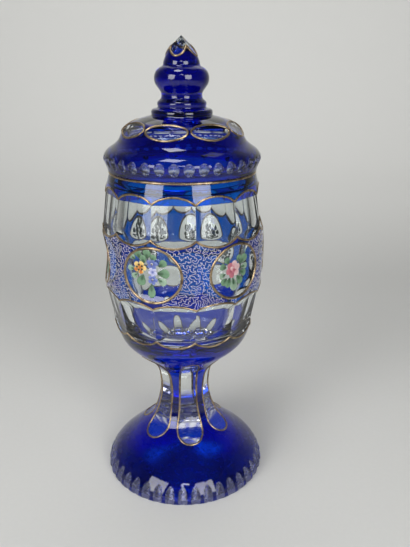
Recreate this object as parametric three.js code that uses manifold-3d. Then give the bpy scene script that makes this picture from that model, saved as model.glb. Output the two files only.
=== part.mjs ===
// Covered goblet of cased cut glass: a clear crystal blank with a skin of cobalt blue glass,
// cut through in windows, gilded along the cuts and painted with posies of enamel.
// Millimetres, +Z up. It stands on z = 0 and turns about the Z axis.
//
// Angles run about +Z from the -Y side, towards +X. An outline is a list of [radius, height].

import * as THREE from 'three';
import { mergeVertices } from 'three/addons/utils/BufferGeometryUtils.js';
import Module from 'manifold-3d';

const wasm = await Module();
wasm.setup();

// Heights of the goblet's zones, from the table up
const footHeight = 46.5;
const stemHeight = 44.5;
const cupHeight = 34;
const lowerPanelHeight = 34;
const beltHeight = 40.5;
const upperPanelHeight = 32.2;
const collarHeight = 9.8;

// Radii of the goblet over its blue skin. The panels lie in from the belt between them, and the
// collar flares out below the rim.
const footRadius = 63;
const footShoulderRadius = 56;
const footSlopeRadius = 36.9;
const stemRootRadius = 24.1;
const waistRadius = 18.9;
const neckRadius = 24.2;
const undersideRadius = 40.4;
const cupRadius = 50;
const lowerPanelInset = 2.4;
const beltRadius = 59;
const upperPanelInset = 1.7;
const collarFlare = 1.9;
const rimRadius = 52.5;

// Walls of the clear glass, measured in from the outside of the skin. The bowl's wall is a little
// thicker under the rim, which leaves a throat below the cover's flange.
const rimWall = 5;
const throatRadius = 46.3;
const throatDepth = 11;
const throatLedge = 3.2;
const bowlWall = 7.5;
const floorThickness = 21;

// The foot is thick, with a shallow dish ground under it inside the ring that it stands on
const standingRing = 7;
const dishDepth = 10.4;

// Cover. Its band hangs out past the rim, and its shoulder and cove lie in from the band.
const coverBandHeight = 17.2;
const coverCoveHeight = 7;
const coverDomeHeight = 13;
const coverOverhang = 2.8;
const coverShoulderInset = 7.1;
const coverCoveInset = 12.1;
const coverDomeRadius = 22.5;
const coverWall = 5.5;
const flangeDepth = 7.5;
const flangeWall = 3.6;
const flangeClearance = 0.7;

// Finial on the cover
const ringHeight = 5.2;
const finialNeckHeight = 7.6;
const knopHeight = 19.8;
const budHeight = 18.4;
const ringRadius = 21.4;
const upperRingRadius = 17.2;
const finialNeckRadius = 14.1;
const knopRadius = 18.9;
const budRadius = 12.7;
const budFacetHeight = 13.5;
const budFacetRadius = 11.4;
const budFacets = 4;
const budFacetTurn = 47.5;

// Blue skin, gilding and enamel
const skin = 1.2;
const fit = 0.3;
const gilding = 0.5;
const gildingWidth = 1.1;
const enamel = 0.6;

// Flat panels round the bowl, with an arch at each end
const panelCount = 12;
const upperArchRise = 4.1;
const upperSillDrop = 4.4;
const lowerArchRise = 3;
const lowerSillDrop = 5;

// Oval medallions on the belt, hollowed by a grinding wheel
const medallionCount = 6;
const medallionHalfWidth = 21;
const medallionHalfHeight = 18.9;
const wheelRadius = 47;
const wheelDepth = 3.8;
const posyRadius = 10.5;
const posyLobes = 5;

// Tongue windows down the stem
const tongueCount = 6;
const tongueTurn = 30;
const tongueFootDrop = 12.5;
const tongueTopRise = 14.5;
const tongueFootHalfWidth = 9.9;
const tongueWaistHalfWidth = 6.6;

// Flutes round the foot
const fluteCount = 40;
const fluteTurn = 1.5;
const fluteHalfWidth = 3.7;
const fluteHeight = 16;

// Oval windows and teardrop cuts on the cover
const coverWindowCount = 8;
const coverTurn = 6;
const coverWindowHalfWidth = 13.2;
const coverWindowHalfHeight = 4.2;
const coverWindowRise = 5.3;
const teardropCount = 36;
const teardropHalfWidth = 3.3;
const teardropHeight = 9.6;
const teardropRise = 3.6;

// Fineness of the turned surfaces, what their facets fall short of the true curve, and what
// one cut runs past the edge of the next
const turnedSides = 24;
const finialSides = 16;
const arcSteps = 4;
const facetSag = 0.3;
const overlap = 2;

const lowerPanelRadius = beltRadius - lowerPanelInset;
const upperPanelRadius = beltRadius - upperPanelInset;
const collarRadius = rimRadius + collarFlare;
const coverBandRadius = rimRadius + coverOverhang;
const coverShoulderRadius = coverBandRadius - coverShoulderInset;
const coverCoveRadius = coverBandRadius - coverCoveInset;
const neckZ = footHeight + stemHeight;
const cupZ = neckZ + cupHeight;
const beltBottomZ = cupZ + lowerPanelHeight;
const beltTopZ = beltBottomZ + beltHeight;
const beltZ = (beltBottomZ + beltTopZ) / 2;
const collarZ = beltTopZ + upperPanelHeight;
const rimZ = collarZ + collarHeight;
const seatZ = rimZ + fit;
const shoulderZ = seatZ + coverBandHeight;
const coveZ = shoulderZ + coverCoveHeight;
const domeZ = coveZ + coverDomeHeight;
const budZ = domeZ + ringHeight + finialNeckHeight + knopHeight;
const tipZ = budZ + budHeight;
const core = skin + fit;
const far = 3 * footRadius;

const degrees = THREE.MathUtils.degToRad;

// Draws a smooth outline through stations of [radius, height, lean, pieces]. The lean is the
// angle in degrees between the outline and the vertical, outward being positive, and the pieces
// are the straight lines that make up the curve to the next station.
function outline(stations) {
  const points = [];
  for (let i = 0; i + 1 < stations.length; i += 1) {
    const [r0, z0, lean0, pieces] = stations[i];
    const [r1, z1, lean1] = stations[i + 1];
    const chord = Math.hypot(r1 - r0, z1 - z0);
    const reach = chord * 0.37;
    const curve = new THREE.CubicBezierCurve(
      new THREE.Vector2(r0, z0),
      new THREE.Vector2(r0 + reach * Math.sin(degrees(lean0)), z0 + reach * Math.cos(degrees(lean0))),
      new THREE.Vector2(r1 - reach * Math.sin(degrees(lean1)), z1 - reach * Math.cos(degrees(lean1))),
      new THREE.Vector2(r1, z1),
    );
    points.push(...curve.getPoints(pieces).slice(i ? 1 : 0).map((p) => [p.x, p.y]));
  }
  return points;
}

// Moves every point of an open outline along its outward normal.
function offset(points, distance) {
  return points.map(([r, z], i) => {
    const [r0, z0] = points[Math.max(0, i - 1)];
    const [r1, z1] = points[Math.min(points.length - 1, i + 1)];
    const length = Math.hypot(r1 - r0, z1 - z0);
    return [r + (distance * (z1 - z0)) / length, z - (distance * (r1 - r0)) / length];
  });
}

// An outline's radius at a height, or at its nearer end where it stops short of that height.
function radiusAt(points, height) {
  const next = points.findIndex(([, z]) => z > height);
  if (next === 0) return points[0][0];
  if (next < 0) return points.at(-1)[0];
  const [r0, z0] = points[next - 1];
  const [r1, z1] = points[next];
  return r0 + ((r1 - r0) * (height - z0)) / (z1 - z0);
}

// The stretch of an outline between two heights, with a point on each.
function span(points, low, high) {
  const margin = 0.2;
  const inner = points.filter(([, z]) => z > low + margin && z < high - margin);
  return [[radiusAt(points, low), low], ...inner, [radiusAt(points, high), high]];
}

// Makes a closed geometry into one solid: shared vertices are merged and its faces look out.
function solid(geometry) {
  const bare = geometry.index ? geometry.toNonIndexed() : geometry.clone();
  for (const name of ['normal', 'uv']) bare.deleteAttribute(name);
  const merged = mergeVertices(bare, 1e-4);
  const vertices = merged.attributes.position.array;
  const corner = (i) => new THREE.Vector3().fromArray(vertices, 3 * i);
  const faces = [];
  let volume = 0;
  for (let i = 0; i < merged.index.count; i += 3) {
    const [a, b, c] = [0, 1, 2].map((k) => merged.index.getX(i + k));
    if (a === b || b === c || c === a) continue;
    volume += corner(a).dot(corner(b).cross(corner(c)));
    faces.push([a, b, c]);
  }
  const triVerts = Uint32Array.from(faces.flatMap(([a, b, c]) => (volume > 0 ? [a, b, c] : [a, c, b])));
  return new wasm.Manifold(new wasm.Mesh({ numProp: 3, vertProperties: vertices, triVerts }));
}

// Turns a profile about Z. Its first point is repeated where it doesn't end on the axis.
function turned(profile, sides = turnedSides, turn = 0) {
  const points = profile.map(([r, z]) => new THREE.Vector2(Math.max(0, r), z));
  const closed = points[0].x === 0 && points.at(-1).x === 0;
  if (!closed) points.push(points[0].clone());
  const geometry = new THREE.LatheGeometry(points, sides);
  geometry.rotateX(Math.PI / 2).rotateZ(degrees(turn));
  return solid(geometry);
}

// A shell that follows an outline between two heights and two offsets from it.
function shell(points, inner, outer, low, high, sides = turnedSides) {
  const out = span(offset(points, outer), low, high);
  const back = span(offset(points, inner), low, high).reverse();
  return turned([...out, ...back], sides);
}

// A straight-sided cutter: a window's outline of [across, height], stood upright at an angle
// round the axis and run outward from a start radius.
function cutter(points, angle, start = 1) {
  const shape = new THREE.Shape(points.map(([x, z]) => new THREE.Vector2(x, z)));
  const geometry = new THREE.ExtrudeGeometry(shape, { depth: far, bevelEnabled: false });
  geometry.rotateX(Math.PI / 2).translate(0, -start, 0).rotateZ(degrees(angle));
  return solid(geometry);
}

// A gilded line: a thin strip between two closed loops of [across, height], laid over an
// outline a clearance above the skin, so that it runs round the edge of a window.
function gildedLine(inner, outer, points, angle) {
  const under = offset(points, fit + facetSag);
  const over = offset(points, fit + facetSag + gilding);
  const place = ([x, z], surface) => {
    const radius = radiusAt(surface, z);
    return [x, -Math.sqrt(radius * radius - x * x), z];
  };
  const corners = inner.flatMap((p, i) => [
    place(p, under),
    place(outer[i], under),
    place(outer[i], over),
    place(p, over),
  ]);
  return strip(corners, inner.length, angle);
}

// Closes a ring of four-cornered sections into a solid.
function strip(corners, count, angle) {
  const faces = [];
  for (let i = 0; i < count; i += 1) {
    for (let k = 0; k < 4; k += 1) {
      const [a, b] = [4 * i + k, 4 * i + ((k + 1) % 4)];
      const [c, d] = [a, b].map((corner) => (corner + 4) % (4 * count));
      faces.push(a, b, d, a, d, c);
    }
  }
  const geometry = new THREE.BufferGeometry();
  geometry.setAttribute('position', new THREE.Float32BufferAttribute(corners.flat(), 3));
  geometry.setIndex(faces);
  geometry.rotateZ(degrees(angle));
  return solid(geometry);
}

function joined(solids) {
  return wasm.Manifold.union(solids);
}

function ring(count, turn, make) {
  return Array.from({ length: count }, (_, i) => make(turn + (360 / count) * i, i));
}

function ellipse(halfWidth, halfHeight, steps, middle = 0) {
  return Array.from({ length: steps }, (_, i) => {
    const angle = (2 * Math.PI * i) / steps;
    return [halfWidth * Math.cos(angle), middle + halfHeight * Math.sin(angle)];
  });
}

const gobletOutline = outline([
  [footRadius, 0, 0, 2],
  [footShoulderRadius, 0.344 * footHeight, -46, 1],
  [footSlopeRadius, 0.71 * footHeight, -49, 2],
  [stemRootRadius, footHeight, -18, 2],
  [waistRadius, footHeight + 0.5 * stemHeight, 0, 2],
  [neckRadius, neckZ, 28, 2],
  [undersideRadius, neckZ + 0.44 * cupHeight, 50, 2],
  [cupRadius, neckZ + 0.853 * cupHeight, 19, 2],
  [lowerPanelRadius, cupZ + 0.735 * lowerPanelHeight, 8, 2],
  [beltRadius, beltZ, 0, 2],
  [upperPanelRadius, beltTopZ + 0.48 * upperPanelHeight, -9, 1],
  [collarRadius, collarZ, -13, 1],
  [rimRadius, rimZ, -9, 0],
]);

const bowlHollow = [
  ...outline([
    [0.28 * cupRadius, neckZ + floorThickness, 84, 3],
    [cupRadius - 1.06 * bowlWall, 1.02 * cupZ, 27, 1],
    [lowerPanelRadius - bowlWall, cupZ + 0.735 * lowerPanelHeight, 8, 2],
    [beltRadius - bowlWall, beltZ, 0, 2],
    [upperPanelRadius - 1.1 * bowlWall, beltTopZ + 0.48 * upperPanelHeight, -10, 1],
    [throatRadius, rimZ - throatDepth, -8, 0],
  ]),
  [rimRadius - rimWall, rimZ - throatDepth + throatLedge],
  [rimRadius - rimWall, rimZ],
];

const footDish = [[0, 1], [0.25, 0.73], [0.6, 0.36], [1, 0]]
  .map(([across, up]) => [across * (footRadius - standingRing), up * dishDepth]);

const coverOutline = outline([
  [rimRadius, seatZ, 6, 1],
  [coverBandRadius, seatZ + 0.54 * coverBandHeight, 0, 2],
  [coverShoulderRadius, shoulderZ, -55, 2],
  [coverCoveRadius, coveZ, -10, 3],
  [coverDomeRadius, domeZ, -72, 0],
]);

const neckStart = domeZ + ringHeight;
const knopStart = neckStart + finialNeckHeight;
const finialOutline = outline([
  [0.973 * coverDomeRadius, domeZ, 20, 1],
  [ringRadius, domeZ + 0.7 * ringHeight, -28, 1],
  [0.97 * upperRingRadius, neckStart, -12, 1],
  [upperRingRadius, neckStart + 0.3 * finialNeckHeight, 0, 2],
  [finialNeckRadius, knopStart, -4, 2],
  [knopRadius, knopStart + 0.53 * knopHeight, 0, 2],
  [budRadius, budZ, -24, 1],
  [0.8 * budRadius, budZ + 0.41 * budHeight, -24, 1],
  [0.42 * budRadius, tipZ, -24, 0],
]);

// Shape of one window of the panel rows: flat sides that overlap the next window, and a
// curved end at each of two heights that leaves a cusp where two windows meet.
function panelWindow(bottom, sillDrop, top, archRise, radius) {
  const half = radius * Math.sin(Math.PI / panelCount);
  const reach = half + overlap;
  const curve = (x, apex, sag) => apex - sag * (x / half) ** 2;
  const points = [];
  for (let i = 0; i <= arcSteps; i += 1) {
    const x = reach * ((2 * i) / arcSteps - 1);
    points.push([x, curve(x, bottom, -sillDrop)]);
  }
  for (let i = arcSteps; i >= 0; i -= 1) {
    const x = reach * ((2 * i) / arcSteps - 1);
    points.push([x, curve(x, top, archRise)]);
  }
  return points;
}

function panelRow(windowShape) {
  return joined(ring(panelCount, 180 / panelCount, (angle) => cutter(windowShape, angle)));
}

const upperWindow = panelWindow(beltTopZ, upperSillDrop, collarZ, upperArchRise, upperPanelRadius);
const lowerWindow = panelWindow(cupZ, lowerSillDrop, beltBottomZ, lowerArchRise, lowerPanelRadius);

// The hollow that the wheel leaves in a medallion, as a segment of a level cylinder. With a
// thickness, the slice of that depth that lies a clearance above the hollow.
function wheelHollow(angle, thickness = 0) {
  const centre = beltRadius - wheelDepth + wheelRadius;
  const sweep = Math.asin((medallionHalfHeight + overlap) / wheelRadius);
  const arc = (radius) => Array.from({ length: 2 * arcSteps + 1 }, (_, i) => {
    const a = sweep * (i / arcSteps - 1);
    return [centre - radius * Math.cos(a), beltZ + radius * Math.sin(a)];
  });
  const points = thickness
    ? [...arc(wheelRadius - fit), ...arc(wheelRadius - fit - thickness).reverse()]
    : arc(wheelRadius);
  const shape = new THREE.Shape(points.map(([r, z]) => new THREE.Vector2(r, z)));
  const width = 2 * (medallionHalfWidth + overlap);
  const geometry = new THREE.ExtrudeGeometry(shape, { depth: width, bevelEnabled: false });
  geometry.translate(0, 0, -width / 2).rotateX(Math.PI / 2).rotateZ(degrees(angle - 90));
  return solid(geometry);
}

function medallionShape(grow = 0) {
  return ellipse(medallionHalfWidth + grow, medallionHalfHeight + grow, 4 * arcSteps, beltZ);
}

// Half of a tongue's outline from its foot to its top, as [half width, height].
function tongueHalf() {
  const low = footHeight - tongueFootDrop;
  const height = neckZ + tongueTopRise - low;
  const at = (width, share) => new THREE.Vector2(width, low + share * height);
  const curve = new THREE.SplineCurve([
    at(0, 0),
    at(0.72 * tongueFootHalfWidth, 0.03),
    at(tongueFootHalfWidth, 0.09),
    at(0.5 * (tongueFootHalfWidth + tongueWaistHalfWidth), 0.22),
    at(tongueWaistHalfWidth, 0.42),
    at(tongueWaistHalfWidth, 0.8),
    at(0.72 * tongueWaistHalfWidth, 0.95),
    at(0, 1),
  ]);
  return curve.getPoints(9).map((p) => [Math.max(0, p.x), p.y]);
}

function tongueShape(grow = 0) {
  const half = offset(tongueHalf(), grow);
  half[0][0] = 0;
  half.at(-1)[0] = 0;
  const mirrored = half.slice(1, -1).reverse().map(([x, z]) => [-x, z]);
  return [...half, ...mirrored];
}

function tongueRow() {
  const points = tongueShape();
  return joined(ring(tongueCount, tongueTurn, (angle) => cutter(points, angle)));
}

function fluteWindow(angle) {
  const points = [
    [-fluteHalfWidth, -fit],
    [fluteHalfWidth, -fit],
    [fluteHalfWidth, 0.5 * fluteHeight],
    [0, fluteHeight],
    [-fluteHalfWidth, 0.5 * fluteHeight],
  ];
  return cutter(points, angle, stemRootRadius);
}

function teardropWindow(angle) {
  const low = seatZ + teardropRise;
  const points = [
    [-0.6 * teardropHalfWidth, low],
    [0.6 * teardropHalfWidth, low],
    [teardropHalfWidth, low + 0.35 * teardropHeight],
    [0, low + teardropHeight],
    [-teardropHalfWidth, low + 0.35 * teardropHeight],
  ];
  return cutter(points, angle, coverCoveRadius);
}

function coverWindowShape(grow = 0) {
  const middle = coveZ + coverWindowRise;
  return ellipse(coverWindowHalfWidth + grow, coverWindowHalfHeight + grow, 3 * arcSteps, middle);
}

function budCut() {
  const base = 2 * budRadius;
  const slope = budFacetRadius / budFacetHeight;
  const side = base / Math.cos(Math.PI / budFacets);
  const facet = [[side, tipZ - base / slope], [0, tipZ]];
  return turned([[0, coveZ], [side, coveZ], ...facet], budFacets, budFacetTurn);
}

// Crystal: the clear glass that carries everything
function bowlCrystal() {
  const blank = turned([
    [0, neckZ + fit],
    ...span(offset(gobletOutline, -core), neckZ + fit, rimZ),
    ...bowlHollow.slice().reverse(),
    [0, neckZ + floorThickness],
  ]);
  const wide = 2 * beltRadius;
  const row = (low, high) => [
    [wide, low],
    ...span(offset(gobletOutline, -core), low, high),
    [wide, high],
  ];
  const flats = turned([
    [0, 0],
    [wide, 0],
    ...row(cupZ + lowerSillDrop, beltBottomZ - lowerArchRise),
    ...row(beltTopZ + upperSillDrop, collarZ - upperArchRise),
    [wide, 2 * rimZ],
    [0, 2 * rimZ],
  ], panelCount);
  const hollows = joined(ring(medallionCount, 0, (angle) => wheelHollow(angle)));
  return blank.intersect(flats).subtract(hollows);
}

function stemCrystal() {
  return turned([
    [0, footHeight + fit],
    ...span(offset(gobletOutline, -core), footHeight + fit, neckZ),
    [0, neckZ],
  ]);
}

function footCrystal() {
  return turned([
    ...span(offset(gobletOutline, -core), 0, footHeight),
    [0, footHeight],
    ...footDish,
  ]);
}

function coverCrystal() {
  const flangeOuter = rimRadius - rimWall - flangeClearance;
  const flangeInner = flangeOuter - flangeWall;
  const hollow = span(offset(coverOutline, -coverWall), seatZ + flangeWall, domeZ - coverWall);
  return turned([
    [flangeInner, seatZ - flangeDepth],
    [flangeOuter, seatZ - flangeDepth],
    [flangeOuter, seatZ],
    ...span(offset(coverOutline, -core), seatZ, domeZ),
    [0, domeZ],
    [0, domeZ - coverWall],
    ...hollow.reverse(),
    [flangeInner, seatZ],
  ]);
}

function finialCore() {
  const round = turned([
    [0, domeZ + fit],
    ...span(offset(finialOutline, -core), domeZ + fit, tipZ),
    [0, tipZ],
  ], finialSides);
  return round.intersect(budCut());
}

// Blue skin over the crystal
function bowlSkin(low, high) {
  return shell(gobletOutline, -skin, 0, low, high);
}

function rimCollar() {
  return bowlSkin(collarZ - upperArchRise - overlap, rimZ).subtract(panelRow(upperWindow));
}

function medallionBelt() {
  const band = bowlSkin(beltBottomZ - lowerArchRise - overlap, beltTopZ + upperSillDrop + overlap);
  const ovals = joined(ring(medallionCount, 0, (angle) => cutter(medallionShape(), angle)));
  return band.subtract(panelRow(upperWindow)).subtract(panelRow(lowerWindow)).subtract(ovals);
}

function bowlCup() {
  const band = bowlSkin(neckZ + fit, cupZ + lowerSillDrop + overlap);
  return band.subtract(panelRow(lowerWindow)).subtract(tongueRow());
}

function footSkin() {
  const flutes = joined(ring(fluteCount, fluteTurn, fluteWindow));
  return bowlSkin(fit, neckZ).subtract(tongueRow()).subtract(flutes);
}

function coverSkin() {
  const windows = joined(ring(coverWindowCount, coverTurn, (angle) => cutter(coverWindowShape(), angle)));
  const drops = joined(ring(teardropCount, coverTurn, teardropWindow));
  return shell(coverOutline, -skin, 0, seatZ, domeZ).subtract(windows).subtract(drops);
}

function finialSkin() {
  return shell(finialOutline, -skin, 0, domeZ + fit, tipZ - fit, finialSides).intersect(budCut());
}

// Gilding: thin lines that lie on the skin along the cuts
function rimGilding() {
  return shell(gobletOutline, fit, fit + gilding, rimZ - gildingWidth, rimZ);
}

// A line along one scalloped edge of a row of panels, all the way round. The apex is the height
// at the middle of a panel, and the sag what it falls by at the joints.
function scallopGilding(apex, sag, grow) {
  const steps = panelCount * arcSteps;
  const under = offset(gobletOutline, fit + facetSag);
  const over = offset(gobletOutline, fit + facetSag + gilding);
  const corners = Array.from({ length: steps }, (_, i) => {
    const share = (2 * (i % arcSteps)) / arcSteps - 1;
    const edge = apex - sag * share * share;
    const angle = (2 * Math.PI * i) / steps;
    const place = (surface, z) => {
      const radius = radiusAt(surface, z);
      return [radius * Math.sin(angle), -radius * Math.cos(angle), z];
    };
    return [place(under, edge), place(under, edge + grow), place(over, edge + grow), place(over, edge)];
  });
  return strip(corners.flat(), steps, 0);
}

function medallionGilding(angle) {
  return gildedLine(medallionShape(), medallionShape(gildingWidth), gobletOutline, angle);
}

function stemGilding(angle) {
  return gildedLine(tongueShape(), tongueShape(gildingWidth), gobletOutline, angle);
}

function coverWindowGilding(angle) {
  return gildedLine(coverWindowShape(), coverWindowShape(gildingWidth), coverOutline, angle);
}

function finialGilding() {
  const band = shell(finialOutline, fit, fit + gilding, budZ, tipZ - fit, finialSides);
  return band.intersect(budCut()).subtract(budCut().translate([0, 0, -2 * gildingWidth]));
}

// Enamel: a posy of flowers and leaves painted in each medallion
function posy(angle) {
  const steps = 2 * posyLobes;
  const points = Array.from({ length: steps }, (_, i) => {
    const a = (2 * Math.PI * i) / steps;
    const radius = posyRadius * (i % 2 === 0 ? 1 : 0.72);
    return [radius * Math.sin(a), beltZ + radius * Math.cos(a)];
  });
  return cutter(points, angle).intersect(wheelHollow(angle, enamel));
}

const clearGlass = new THREE.MeshStandardMaterial({
  color: '#dfe5e6', roughness: 0.03, metalness: 0, transparent: true, opacity: 0.35,
});
const blueGlass = new THREE.MeshStandardMaterial({
  color: '#0b1590', roughness: 0.05, metalness: 0, transparent: true, opacity: 0.9,
});
const gold = new THREE.MeshStandardMaterial({ color: '#c9a75c', roughness: 0.3, metalness: 1 });
const paint = new THREE.MeshStandardMaterial({ color: '#7fa06c', roughness: 0.45, metalness: 0 });

function named(name, shape, material) {
  const { numProp, vertProperties, triVerts } = shape.getMesh();
  const geometry = new THREE.BufferGeometry();
  const positions = new Float32Array((vertProperties.length / numProp) * 3);
  for (let i = 0; i < positions.length / 3; i += 1) {
    positions.set(vertProperties.subarray(i * numProp, i * numProp + 3), 3 * i);
  }
  geometry.setAttribute('position', new THREE.BufferAttribute(positions, 3));
  geometry.setIndex(new THREE.BufferAttribute(new Uint32Array(triVerts), 1));
  geometry.computeVertexNormals();
  const mesh = new THREE.Mesh(geometry, material);
  mesh.name = name;
  return mesh;
}

const goblet = new THREE.Group();
goblet.add(
  named('bowl_crystal', bowlCrystal(), clearGlass),
  named('stem_crystal', stemCrystal(), clearGlass),
  named('foot_crystal', footCrystal(), clearGlass),
  named('rim_collar', rimCollar(), blueGlass),
  named('medallion_belt', medallionBelt(), blueGlass),
  named('bowl_cup', bowlCup(), blueGlass),
  named('foot_casing', footSkin(), blueGlass),
  named('rim_gilding', rimGilding(), gold),
  named('collar_gilding', scallopGilding(collarZ, upperArchRise, gildingWidth), gold),
  named('belt_upper_gilding', scallopGilding(beltTopZ, -upperSillDrop, -gildingWidth), gold),
  named('belt_lower_gilding', scallopGilding(beltBottomZ, lowerArchRise, gildingWidth), gold),
  named('cup_gilding', scallopGilding(cupZ, -lowerSillDrop, -gildingWidth), gold),
  ...ring(medallionCount, 0, (angle, i) => named(`medallion_gilding_${i + 1}`, medallionGilding(angle), gold)),
  ...ring(tongueCount, tongueTurn, (angle, i) => named(`stem_gilding_${i + 1}`, stemGilding(angle), gold)),
  ...ring(medallionCount, 0, (angle, i) => named(`posy_${i + 1}`, posy(angle), paint)),
);

const cover = new THREE.Group();
cover.add(
  named('cover_crystal', coverCrystal(), clearGlass),
  named('finial_core', finialCore(), clearGlass),
  named('cover_casing', coverSkin(), blueGlass),
  named('finial_casing', finialSkin(), blueGlass),
  named('finial_gilding', finialGilding(), gold),
  ...ring(coverWindowCount, coverTurn, (angle, i) =>
    named(`cover_window_gilding_${i + 1}`, coverWindowGilding(angle), gold)),
);

const jar = new THREE.Group();
jar.add(goblet, cover);

export default jar;
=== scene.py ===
"""Covered goblet of cased cut glass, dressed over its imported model.

Lengths in the tables are millimetres and are turned to metres where a mesh is made. Angles run
about +Z from the -Y side, towards +X, as they do in the model.
"""

import math
import random

import bmesh
import bpy
from mathutils import Matrix, Vector


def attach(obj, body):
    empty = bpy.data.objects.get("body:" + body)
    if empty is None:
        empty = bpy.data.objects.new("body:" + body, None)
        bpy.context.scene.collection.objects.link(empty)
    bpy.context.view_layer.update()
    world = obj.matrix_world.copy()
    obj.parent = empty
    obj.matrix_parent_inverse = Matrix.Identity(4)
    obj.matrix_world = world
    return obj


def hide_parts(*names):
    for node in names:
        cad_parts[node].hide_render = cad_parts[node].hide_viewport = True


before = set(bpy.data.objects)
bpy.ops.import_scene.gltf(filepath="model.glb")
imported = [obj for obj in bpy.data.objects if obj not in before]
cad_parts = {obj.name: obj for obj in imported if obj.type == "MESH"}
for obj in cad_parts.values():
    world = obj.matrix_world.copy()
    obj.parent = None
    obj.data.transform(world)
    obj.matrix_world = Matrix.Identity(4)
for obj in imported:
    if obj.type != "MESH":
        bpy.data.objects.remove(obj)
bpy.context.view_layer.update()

bl_info = {
    "name": "Covered Cut Glass Goblet",
    "version": (1, 0, 0),
    "blender": (4, 5, 0),
    "location": "3D View > Sidebar > Goblet",
    "description": "Blows, cuts, gilds and paints a covered goblet of cased glass",
    "category": "Add Mesh",
}

MM = 0.001
COBALT, CRYSTAL, BEVEL, GROUND = 0, 1, 2, 3

# Outlines as (radius, height), smoothed between their points. The skin of cobalt glass covers
# the outside of the goblet and of the cover, and nothing else.
GOBLET_OUTSIDE = [
    (61.2, 0), (62.5, 0.4), (63, 1.6), (62.9, 3.4), (62.3, 6), (60.3, 10.3), (56, 16), (49.4, 22.2),
    (42.6, 28), (36.9, 33), (31.9, 37), (28.2, 40.4), (25.7, 43.4), (24.1, 46.5), (22.2, 51),
    (20.8, 56), (19.6, 61), (18.9, 66), (18.75, 71), (19.2, 77), (20, 82), (20.9, 85.5),
    (22.2, 88.6), (24.3, 91.4), (27.6, 95), (33, 100), (40.6, 106.2), (46.7, 113), (49.9, 120),
    (51.5, 125.5), (52.9, 130), (54.8, 140), (56.6, 150), (57.9, 159), (58.3, 165), (58.8, 172),
    (59, 180), (58.9, 186), (58.6, 193), (58.2, 199.5), (57.9, 204), (57.5, 213), (56.4, 221),
    (55, 227.2), (54, 232.3), (52.95, 236.4), (52.2, 239.4), (51.6, 240.8), (50.8, 241.5),
]
GOBLET_RIM = [(50.8, 241.5), (48.4, 241.5), (47.7, 241.1), (47.5, 240.2)]
BOWL_HOLLOW = [
    (47.5, 240.2), (47.5, 233.6), (46.9, 232.4), (46.3, 231.4), (46.3, 230), (47.2, 225), (49, 215),
    (50.8, 205), (51.4, 198), (51.5, 190), (51.4, 179), (50.9, 163), (49.4, 151), (47.5, 143),
    (45.2, 135), (42.1, 127.4), (38, 121.6), (32.5, 117), (25, 113.9), (14, 112.3), (0, 112),
]
FOOT_DISH = [
    (0, 10.4), (3, 10.1), (7, 9.3), (14, 7.7), (24, 5.6), (33.6, 3.7), (42, 2.2), (50, 0.8),
    (54.5, 0.1), (56, 0), (61.2, 0),
]
COVER_OUTSIDE = [
    (52.1, 241.8), (52.6, 242.3), (52.9, 243.8), (53.9, 247), (55, 249.4), (55.3, 251.3),
    (54.5, 253.4), (53.1, 255.4), (51, 257.2), (48, 259.2), (45.1, 261.8), (43.5, 264.5),
    (42.4, 267), (41.3, 269.5), (38.8, 272.1), (35.1, 274.2), (31, 275.8), (27, 277.1),
    (24, 277.9), (21.6, 278.5), (21.2, 279.4), (21.3, 281), (20.8, 282.3), (19.8, 283),
    (18.1, 283.3), (17, 283.8), (16.7, 284.7), (17, 286), (16.9, 287.3), (16, 288.4),
    (14.7, 289.6), (14.2, 290.8), (14.1, 292.2), (14.4, 293.9), (16.1, 296.4), (18.1, 299.3),
    (18.8, 302.4), (18.5, 305.2), (17.3, 307.8), (15.3, 309.6), (13.4, 310.6), (12.6, 311.4),
    (12.3, 313.3), (11.4, 315.8), (9.8, 319.5), (8.9, 321.4), (7.6, 323.3), (6.1, 326),
    (4.4, 330.2), (0, 330.6),
]
COVER_INSIDE = [
    (0, 273.5), (10, 273.5), (20, 273.1), (28, 271.8), (33.5, 269.6), (36.8, 266.6), (38.4, 263),
    (40.8, 259.6), (44.2, 256.5), (47.2, 253.6), (48.2, 250.3), (46.8, 247), (44.2, 244.4),
    (43.3, 241.5), (43.2, 235.4), (43.6, 234.5), (44.4, 234.3), (45.8, 234.3), (46.5, 234.6),
    (46.8, 235.4), (46.8, 241.2), (47, 241.7), (48, 241.8), (52.1, 241.8),
]

# The twelve flat panels, as (distance of the flat from the axis, height). Above the bevel's
# height their wheel only thins the skin and leaves it blue.
BEVEL_HEIGHT = 227
UPPER_FLATS = [
    (60, 196.9), (58.2, 199.5), (56.6, 202.6), (55.7, 205.2), (55.3, 208), (54.2, 217), (53.1, 226),
    (53.1, 227.2), (54, 232.3), (56.4, 236),
]
LOWER_FLATS = [
    (53, 121), (51.2, 124.6), (50.9, 129), (51, 132), (51.4, 135), (52.7, 142), (54.2, 150),
    (54.7, 153), (55.5, 155.5), (57.9, 159), (60.4, 161.5),
]
PANELS = 12
MEDALLIONS = 6
MEDALLION_HALF_WIDTH, MEDALLION_HALF_HEIGHT = 20.8, 18.9
BELT_Z = 179.7
BELT_RADIUS = 59
BELT_TOP, BELT_TOP_RISE = 199.5, 4.5
BELT_BOTTOM, BELT_BOTTOM_DROP = 159, 3.4

# Between these heights the bowl was blown out, and its skin thinned
BLOWN_LOW, BLOWN_HIGH = 122, 150

# Six tongues down the stem, as (half width, height)
TONGUES = 6
TONGUE_TURN = 30
TONGUE = [
    (0, 34), (4.6, 34.6), (7.8, 36.2), (9.5, 38.4), (9.9, 41), (9.4, 44.5), (8.3, 50), (7.2, 56.5),
    (6.7, 63), (6.6, 72), (6.6, 84), (6.7, 92), (6.5, 96.5), (5.8, 100), (4.2, 103.4), (0, 105.6),
]
TONGUE_WHEEL_HALF = 17

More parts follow.
